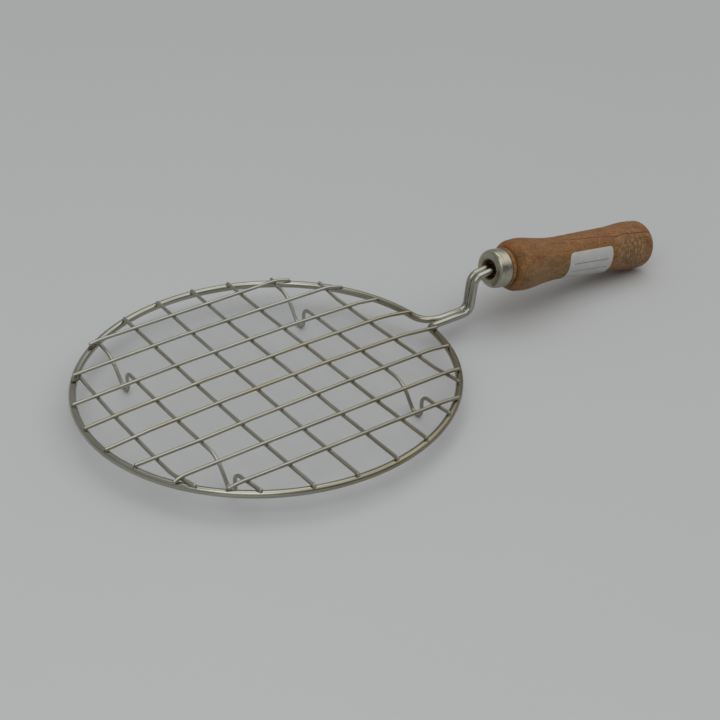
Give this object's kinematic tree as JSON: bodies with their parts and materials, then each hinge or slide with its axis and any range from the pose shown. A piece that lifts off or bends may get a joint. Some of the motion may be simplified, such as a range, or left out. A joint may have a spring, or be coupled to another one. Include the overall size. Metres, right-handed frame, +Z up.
{
  "type": "papad grill",
  "caption": "Round wire grate on bent wire feet, with a raised double-wire neck, a steel ferrule and a turned wooden handle.",
  "frame": {"origin": "point of the rest plane, the plane through the four wire feet, straight below the centre of the round rim", "axes": "+X along the long top wires from the rim centre towards the handle, +Z up from the feet to the grate, +Y to the left of someone looking along +X"},
  "size_m": [0.365, 0.204, 0.0456],
  "materials": {
    "steel_wire": "satin drawn stainless wire with a slight straw heat tint",
    "ferrule_steel": "pressed and rolled sheet, polished",
    "wood": "turned softwood, thinly varnished, long grain",
    "paper": "white coated paper sticker, blank"
  },
  "bodies": {
    "root": {"rim_and_neck_wire": "steel_wire", "top_wire_1": "steel_wire", "top_wire_2": "steel_wire", "top_wire_3": "steel_wire", "top_wire_4": "steel_wire", "top_wire_5": "steel_wire", "top_wire_6": "steel_wire", "top_wire_7": "steel_wire", "top_wire_8": "steel_wire", "cross_wire_1": "steel_wire", "cross_wire_2_with_feet": "steel_wire", "cross_wire_3": "steel_wire", "cross_wire_4": "steel_wire", "cross_wire_5": "steel_wire", "cross_wire_6": "steel_wire", "cross_wire_7_with_feet": "steel_wire", "cross_wire_8": "steel_wire", "ferrule": "ferrule_steel", "wooden_handle": "wood", "paper_label": "paper"}
  },
  "joints": []
}
